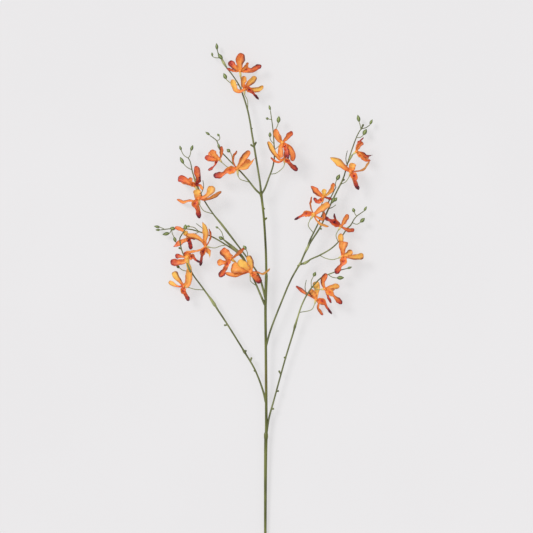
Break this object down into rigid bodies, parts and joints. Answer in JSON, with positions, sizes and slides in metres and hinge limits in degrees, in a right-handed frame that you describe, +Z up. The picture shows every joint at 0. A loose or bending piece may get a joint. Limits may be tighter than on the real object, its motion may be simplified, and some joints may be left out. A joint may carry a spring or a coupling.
{
  "type": "oncidium orchid stem",
  "caption": "Cut branching oncidium orchid stem lying flat: thin green sprays with buds and frilled orange blooms with crimson lips.",
  "frame": {"origin": "on the resting surface, under the middle of the lying stem's bounding box", "axes": "+Y from the cut foot to the crown, +X to the right as seen from above, +Z up from the resting surface"},
  "size_m": [0.4048, 0.9998, 0.046],
  "materials": {
    "stem_green": "satin olive green, slightly mottled, paler on the thick lower stretch",
    "spray_green": "satin olive green with yellower sleeves and buds",
    "petal": "soft matt orange going to yellow at the tips and red at the edges, crimson lip, pale green neck"
  },
  "bodies": {
    "root": {"main_stem": "stem_green", "spray_a": "spray_green", "spray_b": "spray_green", "spray_c": "spray_green", "spray_d": "spray_green", "spray_e": "spray_green", "spray_f": "spray_green", "spray_g": "spray_green", "spray_h": "spray_green", "spray_i": "spray_green", "spray_j": "spray_green", "spray_k": "spray_green", "bloom_a1": "petal", "bloom_a2": "petal", "bloom_b1": "petal", "bloom_b2": "petal", "bloom_c1": "petal", "bloom_c2": "petal", "bloom_d1": "petal", "bloom_d2": "petal", "bloom_e1": "petal", "bloom_e2": "petal", "bloom_f1": "petal", "bloom_f2": "petal", "bloom_g1": "petal", "bloom_g2": "petal", "bloom_h1": "petal", "bloom_h2": "petal", "bloom_i1": "petal", "bloom_i2": "petal", "bloom_j1": "petal", "bloom_j2": "petal", "bloom_k1": "petal", "bloom_k2": "petal"}
  },
  "joints": []
}
